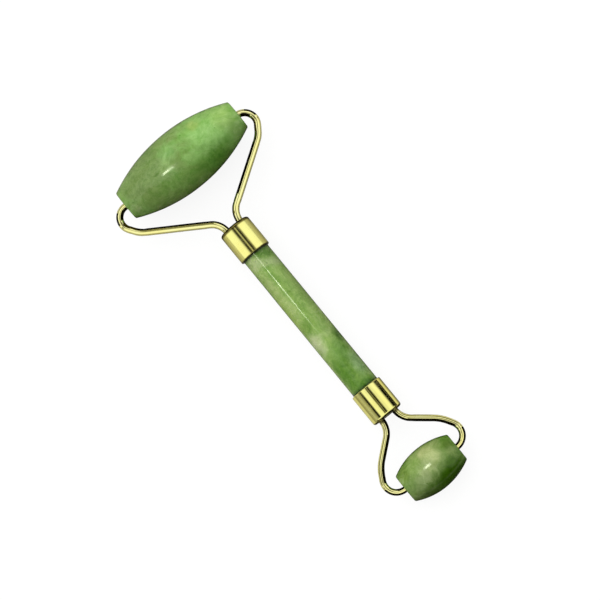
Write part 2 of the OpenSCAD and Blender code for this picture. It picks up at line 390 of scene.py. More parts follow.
def ferrule(name, head):
    """A cup with two holes in its closed face, and a rounded rim and face corner."""
    hole = head.wire / 2 + 0.03
    segs, hole_segs = 168, 56
    lip = 0.10
    verts, faces = [], []

    def rings(profile, centre_y, count):
        """Bridged rings along a profile; gives the first index of the first and last."""
        starts = []
        for r, x in profile:
            starts.append(len(verts))
            for s in range(count):
                angle = 2 * math.pi * s / count
                verts.append((x, centre_y + r * math.cos(angle), r * math.sin(angle)))
        for a, b in zip(starts, starts[1:]):
            bridge(faces, a, b, count)
        return starts[0], starts[-1]

    inner_edge, outer_edge = rings(ferrule_profile(), 0.0, segs)

    # the two holes, each with a small rounded lip at the face
    lip_x = FACE_X - lip
    tube = [(hole + lip, FACE_X)]
    tube += [(hole + lip - lip * sin_deg(a), lip_x + lip * cos_deg(a)) for a in (22, 45, 67, 90)]
    tube += [(hole, lip_x - (lip_x - CAVITY_X) * i / 5) for i in range(1, 6)]
    tubes_out, tubes_in = zip(*[rings(tube, y, hole_segs) for y in (-LEG_Y, LEG_Y)])

    def plate(edge, tubes):
        """Flat face between a round edge and the two holes."""
        index, edges = [], []
        for start, count in [(edge, segs)] + [(tube, hole_segs) for tube in tubes]:
            first = len(index)
            index += range(start, start + count)
            edges += [(first + k, first + (k + 1) % count) for k in range(count)]
        flat = [Vector(verts[i][1:]) for i in index]
        points, _, triangles, origins = geometry.delaunay_2d_cdt(flat, edges, [], 0, 1e-7)[:4]
        remap = []
        for point, origin in zip(points, origins):
            if origin:
                remap.append(index[origin[0]])
            else:
                remap.append(len(verts))
                verts.append((verts[edge][0], point.x, point.y))
        for triangle in triangles:
            centre = sum((points[k] for k in triangle), Vector((0, 0))) / 3
            if all((centre - Vector((y, 0))).length > hole * 0.999 for y in (-LEG_Y, LEG_Y)):
                faces.append(tuple(remap[k] for k in triangle))

    plate(outer_edge, tubes_out)
    plate(inner_edge, tubes_in)
    obj = new_object(name, [(head.side * x, y, z) for x, y, z in verts], faces)
    modifier = obj.modifiers.new("even_normals", "WEIGHTED_NORMAL")
    modifier.weight = 90
    modifier.keep_sharp = True
    return obj


# ---------------------------------------------------------------- node graphs
class Graph:
    """Short calls for building the nodes of a material or a world.
    A value may be a number, a tuple or the output of another node."""

    def __init__(self, owner, output="OutputMaterial"):
        self.owner = owner
        owner.use_nodes = True
        self.tree = owner.node_tree
        self.tree.nodes.clear()
        self.out = self.add(output)

    def add(self, kind, inputs=None, **settings):
        node = self.tree.nodes.new("ShaderNode" + kind)
        for key, value in settings.items():
            setattr(node, key, value)
        for key, value in (inputs or {}).items():
            self.put(node.inputs[key], value)
        return node

    def put(self, socket, value):
        if isinstance(value, bpy.types.NodeSocket):
            self.tree.links.new(value, socket)
            return
        if hasattr(value, "__len__") and len(socket.default_value) == 4 and len(value) == 3:
            value = tuple(value) + (1.0,)
        socket.default_value = value

    def surface(self, shader):
        self.put(self.out.inputs["Surface"], shader.outputs[0])

    def coords(self):
        """Object coordinates in millimetres."""
        return self.scaled(self.add("TexCoord").outputs["Object"], 1000.0)

    def scaled(self, vector, factor):
        node = self.add("VectorMath", operation="SCALE")
        self.put(node.inputs[0], vector)
        self.put(node.inputs["Scale"], factor)
        return node.outputs["Vector"]

    def vec(self, operation, *values):
        node = self.add("VectorMath", dict(enumerate(values)), operation=operation)
        return node.outputs["Value" if operation in ("LENGTH", "DOT_PRODUCT") else "Vector"]

    def math(self, operation, *values):
        return self.add("Math", dict(enumerate(values)), operation=operation).outputs[0]

    def times(self, a, b):
        return self.math("MULTIPLY", a, b)

    def plus(self, a, b):
        return self.math("ADD", a, b)

    def along_x(self, point, sign=1.0):
        return self.vec("DOT_PRODUCT", point, (sign, 0.0, 0.0))

    def by_end(self, point, small, big):
        """One value at the small roller's end and another at the big one's."""
        return self.fade(self.along_x(point), over=(-1.0, 1.0), to=(small, big))

    def noise(self, vector, scale, detail=3.0, rough=0.5, output="Fac"):
        inputs = {"Vector": vector, "Scale": scale, "Detail": detail, "Roughness": rough,
                  "Lacunarity": 2.0, "Distortion": 0.0}
        return self.add("TexNoise", inputs).outputs[output]

    def drift(self, vector, **noise_values):
        """A random vector around zero."""
        random = self.noise(vector, output="Color", **noise_values)
        return self.vec("SUBTRACT", random, (0.5, 0.5, 0.5))

    def wander(self, value, random, amount):
        """The value, moved up and down by a noise."""
        return self.plus(value, self.times(self.math("SUBTRACT", random, 0.5), amount))

    def dots(self, vector, scale, over, to=(1.0, 0.0)):
        """Scattered round dots, fading over these distances from their centres."""
        cells = self.add("TexVoronoi", {"Vector": vector, "Scale": scale, "Randomness": 1.0})
        return self.fade(cells.outputs["Distance"], over, to)

    def ramp(self, value, stops, mode="EASE"):
        """Colour by value; stops are (position, colour)."""
        node = self.add("ValToRGB", {"Fac": value})
        node.color_ramp.interpolation = mode
        elements = node.color_ramp.elements
        for element, (position, colour) in zip(elements, (stops[0], stops[-1])):
            element.position = position
            element.color = (*colour, 1)
        for position, colour in stops[1:-1]:
            elements.new(position).color = (*colour, 1)
        return node.outputs["Color"]

    def fade(self, value, over, to=(0.0, 1.0)):
        """Smooth step between the values of to, while value crosses over."""
        inputs = {"Value": value, "From Min": over[0], "From Max": over[1],
                  "To Min": to[0], "To Max": to[1]}
        return self.add("MapRange", inputs, interpolation_type="SMOOTHSTEP").outputs["Result"]

    def mix(self, factor, a, b, blend="MIX"):
        node = self.add("Mix", data_type="RGBA", blend_type=blend, clamp_factor=True)
        for socket, value in ((0, factor), (6, a), (7, b)):
            self.put(node.inputs[socket], value)
        return node.outputs[2]

    def darken(self, factor, colour, by):
        return self.mix(factor, colour, self.mix(1.0, colour, by, "MULTIPLY"))

    def paint(self, colour, mask, where, strength, tone):
        """Lay a tone over the colour where both masks are on."""
        return self.mix(self.times(self.times(mask, where), strength), colour, tone)

    def stretch(self, vector, turn, scale):
        """Turn in degrees, then scale, each about X, Y and Z."""
        rotation = tuple(math.radians(a) for a in turn)
        inputs = {"Vector": vector, "Rotation": rotation, "Scale": scale}
        return self.add("Mapping", inputs).outputs["Vector"]

    def bump(self, height, strength, distance, normal=None):
        """Bump of a height; distance is in metres."""
        node = self.add("Bump", {"Strength": strength, "Distance": distance, "Height": height})
        if normal is not None:
            self.put(node.inputs["Normal"], normal)
        return node.outputs["Normal"]

    def principled(self, **values):
        inputs = {key.replace("_", " "): value for key, value in values.items()}
        self.surface(self.add("BsdfPrincipled", inputs))


# ---------------------------------------------------------------- jade
# stone colours, linear RGB
DEEP = (0.024, 0.075, 0.004)
DARK = (0.060, 0.150, 0.015)
GREEN = (0.100, 0.230, 0.036)
OLIVE = (0.152, 0.255, 0.060)
LEAF = (0.185, 0.355, 0.084)
LIME = (0.235, 0.450, 0.118)
PALE = (0.285, 0.410, 0.150)
MIST = (0.350, 0.435, 0.205)
CREAM = (0.460, 0.520, 0.285)
DULL = (0.145, 0.220, 0.068)
FOG = (0.300, 0.355, 0.155)


def on_roller(head, turn, along):
    """A place on a roller: degrees from the top towards +X, and mm along the axle."""
    _, curve_r, curve_x = barrel_curve(head)
    r = curve_x + math.sqrt(curve_r ** 2 - along ** 2)
    return (head.axle + r * sin_deg(turn), along, r * cos_deg(turn))


def on_rod(x, turn):
    """A place on the handle: mm along it, and degrees from the top towards +Y."""
    return (x, HANDLE_R * sin_deg(turn), HANDLE_R * cos_deg(turn))


def threads(g, vector, shift, half_width, **noise_values):
    """1 along thin winding lines, 0 elsewhere."""
    value = g.noise(g.vec("ADD", vector, shift), **noise_values)
    value = g.math("ABSOLUTE", g.math("SUBTRACT", value, 0.5))
    return g.fade(value, over=(0.0, half_width), to=(1.0, 0.0))


def jade_body(g, p, shifted, warped, tilt, clouds, patches, layered):
    """Clouds and layers, the soft patches, then pale and dark threads."""
    body = g.noise(warped, scale=0.085, detail=4.0, rough=0.52)
    laid = g.stretch(warped, turn=(0, 0, tilt), scale=(0.035, 0.19, 0.12))
    streak = g.noise(laid, scale=1.0, detail=5.0, rough=0.6)
    cloud = g.plus(g.times(body, 1.0 - layered), g.times(streak, layered))
    colour = g.ramp(cloud, clouds)

    small_drift = g.drift(shifted, scale=0.22, detail=4.0, rough=0.6)
    for centre, radii, tone, strength, wander in patches:
        q = g.vec("ADD", p, g.scaled(small_drift, wander * 3.0))
        q = g.vec("DIVIDE", g.vec("SUBTRACT", q, centre), radii)
        near = g.fade(g.vec("LENGTH", q), over=(0.25, 1.15), to=(strength, 0.0))
        colour = g.mix(near, colour, tone)

    pale = threads(g, warped, (31.0, 7.0, 3.0), 0.022, scale=0.16, detail=3.0, rough=0.5)
    where = g.fade(g.noise(shifted, scale=0.05, detail=1.0), over=(0.5, 0.66))
    colour = g.paint(colour, pale, where, strength=0.34, tone=MIST)
    dark = threads(g, warped, (-11.0, 23.0, 5.0), 0.012, scale=0.21, detail=4.0, rough=0.55)
    elsewhere = g.vec("ADD", shifted, (3.0, 55.0, 8.0))
    where = g.fade(g.noise(elsewhere, scale=0.06, detail=1.0), over=(0.54, 0.68))
    return g.paint(colour, dark, where, strength=0.30, tone=DARK)


def jade_grain(g, colour, shifted, mottle, felt, grain):
    """Mottle, felted grain, dark specks and pale flecks."""
    mottle_tones = [(0.28, (0.30, 0.35, 0.28)), (0.5, (0.5, 0.5, 0.5)), (0.72, (0.68, 0.66, 0.70))]
    felt_tones = [(0.3, (0.38, 0.40, 0.36)), (0.7, (0.62, 0.61, 0.63))]
    for factor, value, tones in ((0.85, mottle, mottle_tones), (0.50, felt, felt_tones)):
        colour = g.mix(factor * grain, colour, g.ramp(value, tones, "LINEAR"), "SOFT_LIGHT")
    specks = g.dots(shifted, scale=0.62, over=(0.05, 0.20))
    where = g.fade(g.noise(shifted, scale=0.33, detail=2.0), over=(0.55, 0.64))
    colour = g.paint(colour, specks, where, strength=0.45, tone=DEEP)
    flecks = g.dots(g.vec("ADD", shifted, (5.0, 9.0, 2.0)), scale=0.95, over=(0.05, 0.18))
    elsewhere = g.vec("ADD", shifted, (9.0, 1.0, 4.0))
    where = g.fade(g.noise(elsewhere, scale=0.28, detail=2.0), over=(0.56, 0.66))
    return g.paint(colour, flecks, where, strength=0.30, tone=MIST)


def jade_rim_shade(g, colour, p, mottle):
    """A painted contact shadow, with a little glue stain, darkens the rod beside the two ferrules,
    and a nearly black line of painted shade marks the gap at each.
    """
    ends = g.wander(g.math("ABSOLUTE", g.along_x(p)), mottle, amount=0.9)
    # painted contact shadow cast by the ferrule on the rod, with a little glue stain
    rim_shadow = g.fade(ends, over=(RIM_X - 1.7, RIM_X - 0.1), to=(0.0, 0.75))
    colour = g.darken(rim_shadow, colour, by=(0.16, 0.22, 0.12))
    # a nearly black line of painted shade in the gap at the rim
    seam = g.fade(ends, over=(RIM_X - 0.62, RIM_X - 0.32), to=(0.0, 0.94))
    seam = g.times(seam, g.by_end(p, small=0.62, big=1.0))
    gap_shade_colour = (0.010, 0.016, 0.004)
    return g.mix(seam, colour, gap_shade_colour)


def jade_polish(g, p, felt, uneven):
    """Roughness and normal: smears, hairline scratches and pits."""
    smear = g.stretch(p, turn=(20, 35, 10), scale=(0.25, 0.9, 0.6))
    smear = g.noise(smear, scale=0.5, detail=4.0, rough=0.6)
    rough = g.fade(smear, over=(0.35, 0.75), to=(0.085, 0.175))
    rough = g.plus(rough, g.times(felt, 0.03))
    hair = g.stretch(p, turn=(8, 47, 21), scale=(0.12, 14.0, 9.0))
    hair = g.fade(g.noise(hair, scale=1.0, detail=2.0, rough=0.5), over=(0.63, 0.70))
    pit = g.dots(p, scale=1.4, over=(0.02, 0.10), to=(0.0, 1.0))
    waves = g.noise(p, scale=0.32, detail=2.0, rough=0.5)
    normal = g.bump(waves, strength=0.20 * uneven, distance=0.00006)
    marks = g.math("SUBTRACT", pit, g.times(hair, 0.5))
    normal = g.bump(marks, strength=0.10 * uneven, distance=0.000012, normal=normal)
    return rough, normal


def jade(name, offset, tilt, clouds, patches, layered=0.12, uneven=1.0, grain=1.0, rim_shaded=False):
    """Polished cloudy green stone. clouds are ramp stops, layered is the share of the layers,
    which lie tilt degrees about Z; patches are (centre in mm, radii in mm, colour, strength,
    how much the edge wanders in mm); the last flag paints shadow, with a little glue stain,
    on the rod beside the ferrules."""
    g = Graph(bpy.data.materials.new(name))
    p = g.coords()
    shifted = g.vec("ADD", p, offset)
    drift = g.drift(shifted, scale=0.075, detail=3.0, rough=0.55)
    warped = g.vec("ADD", shifted, g.scaled(drift, 13.0))
    colour = jade_body(g, p, shifted, warped, tilt, clouds, patches, layered)
    mottle = g.noise(warped, scale=0.55, detail=4.0, rough=0.62)
    felt = g.noise(shifted, scale=3.2, detail=3.0, rough=0.65)
    colour = jade_grain(g, colour, shifted, mottle, felt, grain)
    # painted shadow and painted gap shade at the ferrules, with a little glue stain
    if rim_shaded:
        colour = jade_rim_shade(g, colour, p, mottle)

    # painted shade: darker near the outline, where the view grazes the surface
    facing = g.add("LayerWeight", {"Blend": 0.5}).outputs["Facing"]
    outline_shade = g.fade(facing, over=(0.62, 0.97), to=(0.0, 0.62))
    colour = g.darken(outline_shade, colour, by=(0.22, 0.30, 0.16))
    rough, normal = jade_polish(g, p, felt, uneven)
    g.principled(Base_Color=colour, Roughness=rough, IOR=1.5, Specular_IOR_Level=0.30,
                 Specular_Tint=(0.93, 1.0, 0.74, 1.0), Normal=normal, Subsurface_Weight=0.30,
                 Subsurface_Radius=(0.75, 1.0, 0.45), Subsurface_Scale=0.0018)
    return g.owner


CLOUDS_BIG = [(0.34, GREEN), (0.45, OLIVE), (0.55, LEAF), (0.67, PALE)]
CLOUDS_HANDLE = [(0.34, (0.118, 0.230, 0.034)), (0.45, (0.196, 0.332, 0.075)),
                 (0.56, (0.256, 0.392, 0.102)), (0.68, (0.315, 0.442, 0.152))]
CLOUDS_SMALL = [(0.35, (0.048, 0.120, 0.010)), (0.45, (0.085, 0.175, 0.024)),
                (0.55, (0.120, 0.200, 0.044)), (0.67, (0.210, 0.290, 0.100))]

# Patches on the rollers: turn and place for on_roller, radii, colour, strength, wander.
PATCHES_BIG = [
    (10, -15, (12, 13, 12), LIME, 0.75, 3.0),
    (12, -19.5, (5, 5, 5), (0.330, 0.510, 0.140), 0.60, 2.0),
    (22, 13, (15, 15, 15), DULL, 0.85, 3.0),
    (25, -19, (7, 6, 7), (0.265, 0.450, 0.115), 0.55, 2.0),
    (2, -11, (5, 7, 5), (0.250, 0.475, 0.130), 0.55, 2.5),
    (21, 1.4, (4, 5, 4), (0.230, 0.430, 0.130), 0.55, 2.0),
    (-3, 4.7, (4, 4, 4), PALE, 0.35, 2.0),
    (49, -1.7, (4, 5, 4), (0.170, 0.220, 0.075), 0.50, 2.0),
    (35, -10, (3, 3, 3), (0.310, 0.420, 0.100), 0.55, 1.5),
    # painted fill light: a lighter strip along the -X side, which the light leaves shaded
    (-40, 0, (4.5, 24, 4.5), (0.140, 0.285, 0.056), 0.38, 3.0),
    (-52, -10, (6, 9, 6), (0.056, 0.175, 0.012), 0.68, 2.5),
    (-35, 5, (4, 6, 4), (0.115, 0.235, 0.045), 0.50, 2.0),
    (-25, -20, (4, 4, 4), (0.120, 0.240, 0.040), 0.45, 2.0),
    (-40, 14, (4, 8, 4), (0.128, 0.228, 0.048), 0.50, 2.0),
    (140, 4, (7, 12, 7), LIME, 0.60, 3.0),
    (200, -12, (8, 8, 8), DARK, 0.50, 3.0),
    (260, 10, (6, 9, 6), MIST, 0.45, 3.0),
]
PATCHES_SMALL = [
    (47, -1.6, (4.6, 4.4, 4.6), (0.330, 0.370, 0.150), 0.80, 1.3),
    (20, -2.8, (3.6, 3.6, 3.6), (0.330, 0.385, 0.160), 0.80, 1.2),
    (50, -5.6, (4, 2.6, 4), (0.225, 0.290, 0.100), 0.80, 1.2),
    (58, 2.8, (4, 2.6, 4), (0.215, 0.300, 0.090), 0.70, 1.2),
    (8, 0.5, (3.6, 4.4, 3.6), FOG, 0.70, 1.3),
    (-10, 3.6, (3, 3.6, 3), (0.235, 0.290, 0.130), 0.60, 1.3),
    (-24, 6.6, (2.6, 3, 2.6), (0.150, 0.215, 0.070), 0.50, 1.3),
    (30, 4.2, (4, 3, 4), (0.210, 0.305, 0.085), 0.60, 1.2),
    (23, -8.6, (3, 2.4, 3), (0.075, 0.135, 0.020), 0.75, 1.0),
    (2, -8.4, (2.4, 2, 2.4), (0.165, 0.230, 0.068), 0.60, 1.0),
    # painted shade: these three darken the -X side, which the light leaves dark
    (-26, -6.5, (3.6, 4.4, 3.6), (0.044, 0.118, 0.002), 0.82, 1.4),
    (-50, -2.6, (5.6, 9.2, 5.6), (0.024, 0.074, 0.000), 0.92, 1.2),
    (-66, 6, (4.4, 5, 4.4), (0.030, 0.066, 0.004), 0.80, 1.2),
    (40, 8, (3.4, 3, 3.4), (0.110, 0.180, 0.028), 0.70, 1.0),
    (150, 2, (5, 6, 5), FOG, 0.60, 2.0),
    (230, -4, (5, 5, 5), DARK, 0.50, 2.0),
]
# Patches on the handle: x and turn for on_rod, then the same columns.
PATCHES_HANDLE = [
    (11, 40, (16, 3.4, 3.4), (0.360, 0.455, 0.165), 0.72, 1.0),
    (6.5, 62, (10, 2.2, 2.2), (0.270, 0.400, 0.080), 0.60, 1.0),
    (16.0, 8, (9, 1.6, 1.6), (0.190, 0.330, 0.070), 0.55, 0.8),
    (11, -38, (11, 4, 4), (0.270, 0.400, 0.112), 0.55, 1.5),
    (-4.5, -28, (4.5, 3.2, 3.2), (0.205, 0.330, 0.085), 0.60, 1.2),
    (25.0, 34, (3.6, 3.5, 3.5), (0.380, 0.450, 0.210), 0.70, 1.0),
    (24.0, 14, (1.6, 3, 3), MIST, 0.62, 0.6),
    (22.6, -12, (1.6, 3, 3), MIST, 0.60, 0.6),
    (21.2, -48, (1.8, 3, 3), MIST, 0.66, 0.6),
    # painted contact shadow on the rod beside the big ferrule's rim
    (27.0, -8, (2.2, 2.4, 3), (0.070, 0.165, 0.020), 0.75, 0.7),
    (25.6, -36, (2.7, 4, 4), (0.055, 0.150, 0.012), 0.70, 0.8),
    (-1.2, 30, (3.4, 3.6, 3.6), (0.165, 0.285, 0.050), 0.80, 1.2),
    (-7.6, 42, (4.4, 3.2, 3.2), CREAM, 0.88, 1.0),
    (-10.6, 46, (2.6, 2.4, 2.4), MIST, 0.60, 0.9),
    (-6.6, -14, (1.5, 3.4, 3), MIST, 0.22, 0.9),
    (-9.3, -62, (3.0, 3, 3), (0.050, 0.130, 0.012), 0.85, 1.0),
    (-13.6, -14, (4.5, 3.6, 3.6), GREEN, 0.65, 1.2),
    (-22.5, 30, (9.5, 4.4, 4.4), (0.080, 0.195, 0.018), 0.90, 1.0),
    (-20.0, -44, (5.6, 3.2, 3.2), (0.235, 0.370, 0.160), 0.70, 1.2),
    (-26.8, -16, (2.4, 4, 4), (0.060, 0.170, 0.012), 0.80, 0.8),
    (3, 165, (9, 4, 4), LEAF, 0.60, 1.5),
    (-17, 190, (6, 4, 4), MIST, 0.45, 1.5),
]


def roller_patches(head, table):
    return [(on_roller(head, turn, along), *rest) for turn, along, *rest in table]


# ---------------------------------------------------------------- gold, nylon, resin
STAIN_GOLD = (0.62, 0.50, 0.20)
SPOT_GOLD = (0.45, 0.33, 0.10)
# painted shade and dark reflection at a ferrule's rim and face corner
RIM_SHADE_GOLD = (0.09, 0.070, 0.015)
CORNER_SHADE_GOLD = (0.14, 0.110, 0.022)
# painted shade where the small wire leaves its ferrule
ROOT_SHADE_GOLD = (0.045, 0.035, 0.006)


def painted_edge_shade(g, colour, p, stain):
    """Painted shade and dark reflection: dark bands at a ferrule's rim and at the corner of its
    face.
    """
    along = g.math("ABSOLUTE", g.along_x(p))
    along = g.wander(along, stain, amount=0.35)
    rim = g.fade(along, over=(RIM_X + 0.12, RIM_X + 0.58), to=(0.95, 0.0))
    rim = g.times(rim, g.by_end(p, small=0.12, big=1.0))
    big_end = g.by_end(p, small=0.0, big=1.0)
    wide = g.fade(along, over=(FACE_X - 1.45, FACE_X - 0.95), to=(0.0, 0.93))
    narrow = g.fade(along, over=(FACE_X - 0.72, FACE_X - 0.26), to=(0.0, 0.93))
    corner = g.math("MAXIMUM", g.times(wide, big_end), narrow)
    return g.mix(corner, g.mix(rim, colour, RIM_SHADE_GOLD), CORNER_SHADE_GOLD)


def root_shade(g, colour, p, stain):
    """Painted shade on the small wire where it leaves its ferrule."""
    out = g.wander(g.along_x(p, -1.0), stain, amount=0.6)
    near = g.fade(out, over=(FACE_X + 0.55, FACE_X + 1.45), to=(0.90, 0.0))
    return g.mix(g.times(near, g.fade(out, over=(0.0, 1.0))), colour, ROOT_SHADE_GOLD)


def gold(name, tint, warm, direction, painted_shade):
    """Bright plating over metal. direction scales the polishing marks; the last argument paints
    shade and dark reflection at chosen places.
    """
    g = Graph(bpy.data.materials.new(name))
    p = g.coords()
    wide = g.noise(p, scale=0.16, detail=3.0, rough=0.55)
    colour = g.mix(g.fade(wide, over=(0.35, 0.7)), tint, warm)
    stain = g.noise(g.vec("ADD", p, (4.0, 2.0, 9.0)), scale=0.45, detail=5.0, rough=0.65)
    colour = g.mix(g.fade(stain, over=(0.60, 0.80), to=(0.0, 0.30)), colour, STAIN_GOLD)
    spot = g.dots(p, scale=0.8, over=(0.03, 0.10))
    where = g.fade(g.noise(p, scale=0.3, detail=1.0), over=(0.58, 0.66))
    spot = g.times(spot, where)
    colour = g.mix(g.times(spot, 0.5), colour, SPOT_GOLD)
    # painted shade and dark reflection
    colour = painted_shade(g, colour, p, stain)
    marks = g.noise(g.vec("MULTIPLY", p, direction), scale=1.0, detail=3.0, rough=0.6)
    handled = g.noise(p, scale=0.6, detail=4.0, rough=0.6)
    rough = g.fade(handled, over=(0.35, 0.75), to=(0.045, 0.12))
    rough = g.plus(rough, g.times(g.fade(marks, over=(0.55, 0.75)), 0.05))
    rough = g.plus(rough, g.times(spot, 0.25))
    normal = g.bump(marks, strength=0.05, distance=0.000012)
    waves = g.noise(p, scale=0.9, detail=2.0)
    normal = g.bump(waves, strength=0.05, distance=0.00002, normal=normal)
    g.principled(Base_Color=colour, Metallic=1.0, Roughness=rough, Normal=normal)
    return g.owner


def nylon(name):
    """Off-white plastic with turning marks."""
    light, shade, dirt = (0.80, 0.78, 0.70), (0.68, 0.65, 0.55), (0.42, 0.40, 0.34)
    g = Graph(bpy.data.materials.new(name))
    p = g.coords()
    tone = g.noise(p, scale=0.9, detail=3.0, rough=0.55)
    colour = g.mix(g.fade(tone, over=(0.35, 0.7)), light, shade)
    soiled = g.noise(p, scale=2.2, detail=4.0, rough=0.6)
    colour = g.mix(g.fade(soiled, over=(0.5, 0.75), to=(0.0, 0.35)), colour, dirt)
    rough = g.fade(tone, over=(0.3, 0.7), to=(0.38, 0.55))
    turned = g.noise(g.vec("MULTIPLY", p, (0.4, 14.0, 0.4)), scale=1.0, detail=2.0)
    normal = g.bump(turned, strength=0.25, distance=0.00003)
    g.principled(Base_Color=colour, Roughness=rough, IOR=1.53, Normal=normal,
                 Subsurface_Weight=0.25, Subsurface_Radius=(1.0, 0.9, 0.7),
                 Subsurface_Scale=0.0008)
    return g.owner


def resin(name):
    """Amber glue with bubbles."""
    dark, light, bubble_tone = (0.07, 0.05, 0.016), (0.16, 0.12, 0.045), (0.5, 0.42, 0.22)
    g = Graph(bpy.data.materials.new(name))
    p = g.coords()
    tone = g.noise(p, scale=0.7, detail=4.0, rough=0.6)
    colour = g.mix(g.fade(tone, over=(0.35, 0.7)), dark, light)
    bubble = g.dots(p, scale=2.4, over=(0.05, 0.22))
    colour = g.mix(g.times(bubble, 0.5), colour, bubble_tone)
    rough = g.fade(tone, over=(0.3, 0.7), to=(0.16, 0.32))
    normal = g.bump(g.plus(bubble, tone), strength=0.35, distance=0.00008)
    g.principled(Base_Color=colour, Roughness=rough, IOR=1.55, Normal=normal, Coat_Weight=0.4,
                 Coat_Roughness=0.08, Subsurface_Weight=0.2,
                 Subsurface_Radius=(1.0, 0.6, 0.25), Subsurface_Scale=0.0008)
    return g.owner


jade_big = jade("jade_big_cloudy", offset=(12.0, -8.0, 4.0), tilt=35, clouds=CLOUDS_BIG,
                patches=roller_patches(BIG, PATCHES_BIG))
jade_handle = jade("jade_handle_cloudy", offset=(-31.0, 18.0, 9.0), tilt=24,
                   clouds=CLOUDS_HANDLE,
                   patches=[(on_rod(x, turn), *rest) for x, turn, *rest in PATCHES_HANDLE],
                   layered=0.42, uneven=0.12, grain=1.2, rim_shaded=True)
jade_small = jade("jade_small_cloudy", offset=(57.0, 33.0, -21.0), tilt=-40,
                  clouds=CLOUDS_SMALL, patches=roller_patches(SMALL, PATCHES_SMALL))
gold_cup = gold("gold_plate_polished", tint=(0.970, 0.945, 0.325), warm=(0.955, 0.900, 0.275),
                direction=(9.0, 0.5, 0.5), painted_shade=painted_edge_shade)
gold_wire = gold("gold_wire_drawn", tint=(0.970, 0.945, 0.43), warm=(0.955, 0.905, 0.35),
                 direction=(0.9, 0.9, 6.0), painted_shade=root_shade)
nylon_natural = nylon("nylon_natural")
resin_amber = resin("resin_amber")


# ---------------------------------------------------------------- the pieces
def install(obj, material, rides, replaces):
    obj.data.materials.append(material)
    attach(obj, rides)
    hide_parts(replaces)


big_stone = roller("big_roller_barrel", BIG, seed=1.3, amount=0.035)
install(big_stone, jade_big, "big_roller", "big_roller_stone")
small_stone = roller("small_roller_barrel", SMALL, seed=6.1, amount=0.03)
install(small_stone, jade_small, "small_roller", "small_roller_stone")
rod = handle("handle_rod")
install(rod, jade_handle, "handle", "handle_stone")

for label, head, seed in (("big", BIG, 2.0), ("small", SMALL, 7.0)):
    wire = yoke(label + "_yoke", head, seed)
    install(wire, gold_wire, "handle", label + "_yoke_wire")
    cup = ferrule(label + "_ferrule_cup", head)
    install(cup, gold_cup, "handle", label + "_ferrule")

for node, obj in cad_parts.items():
    if "bush" in node or "epoxy" in node:
        obj.data.materials.clear()
        obj.data.materials.append(nylon_natural if "bush" in node else resin_amber)

# ---------------------------------------------------------------- floor
# Brightness of the floor in reflections: (y in mm, level), by the big and the small end.
BANDS_BIG = [(-80, 0.50), (-62, 0.46), (-30, 0.41), (-20, 0.31), (-8, 0.30), (8, 0.32),
             (13, 0.31), (20, 0.40), (32, 0.42), (60, 0.52), (80, 0.54)]
BANDS_SMALL = [(-78, 0.01), (-66, 0.02), (-54, 0.30), (-40, 0.72), (-27, 0.74), (-20, 0.56),
               (-14, 0.24), (-8, 0.22), (4, 0.45), (9, 0.60), (17, 0.60), (24, 0.62),
               (33, 0.40), (42, 0.25), (60, 0.27), (80, 0.36)]
BAND_WARMTH = (1.0, 0.96, 0.83)
BAND_WIDTH = 160.0      # the ramps span this much of Y
# Painted shadows on the floor, seen only in reflections, inside the wire loops and past the small
# roller:
# (centre x, x radius, y radius)
SHADOW_PLACES = ((56.0, 19.0, 30.0), (-53.0, 14.0, 18.0), (-92.0, 36.0, 26.0))


def mirrored_floor(g, p):
    """The floor as a mirror finds it: bands of grey with painted shadows."""
    px, py, _ = g.add("SeparateXYZ", {0: p}).outputs
    across = g.math("MULTIPLY_ADD", py, 1 / BAND_WIDTH, 0.5)

    def bands(table):
        stops = [(y / BAND_WIDTH + 0.5, tuple(c * level for c in BAND_WARMTH))
                 for y, level in table]
        return g.ramp(across, stops, "LINEAR")

    by_big, by_small = bands(BANDS_BIG), bands(BANDS_SMALL)
    colour = g.mix(g.fade(px, over=(-12.0, 12.0)), by_small, by_big)
    # painted shadows, seen only in reflections
    dark = 0.0
    for x, radius_x, radius_y in SHADOW_PLACES:
        q = g.vec("SUBTRACT", p, (x, 0.0, -9.0))
        q = g.vec("DIVIDE", q, (radius_x, radius_y, 40.0))
        near = g.fade(g.vec("LENGTH", q), over=(0.75, 1.15), to=(1.0, 0.0))
        dark = g.math("MAXIMUM", dark, near)
    return g.mix(dark, colour, (0.05, 0.045, 0.03))


def floor_material():
    """Pale to the camera, bands to mirrors, dim to everything else."""
    pale, paler = (0.93, 0.93, 0.925), (0.95, 0.95, 0.945)
    dim, dim_glow, bright_glow = (0.20, 0.19, 0.16), (0.25, 0.24, 0.20), (1.05, 1.05, 1.05)
    g = Graph(bpy.data.materials.new("floor_pale"))
    p = g.coords()
    far = g.fade(g.vec("LENGTH", p), over=(350.0, 1500.0))
    tone = g.noise(p, scale=0.02, detail=3.0)
    seen_colour = g.mix(g.fade(tone, over=(0.3, 0.7)), pale, paler)
    path = g.add("LightPath")
    seen = path.outputs["Is Camera Ray"]
    albedo = g.mix(path.outputs["Is Glossy Ray"], dim, mirrored_floor(g, p))
    albedo = g.mix(seen, albedo, seen_colour)
    diffuse = g.add("BsdfDiffuse", {"Color": albedo})
    glow = g.add("Emission", {"Color": g.mix(seen, dim_glow, bright_glow)})
    # mostly glow to the camera, which leaves the shadows faint
    share = g.math("MAXIMUM", far, g.times(seen, 0.84))
    g.surface(g.add("MixShader", {0: share, 1: diffuse.outputs[0], 2: glow.outputs[0]}))
    return g.owner


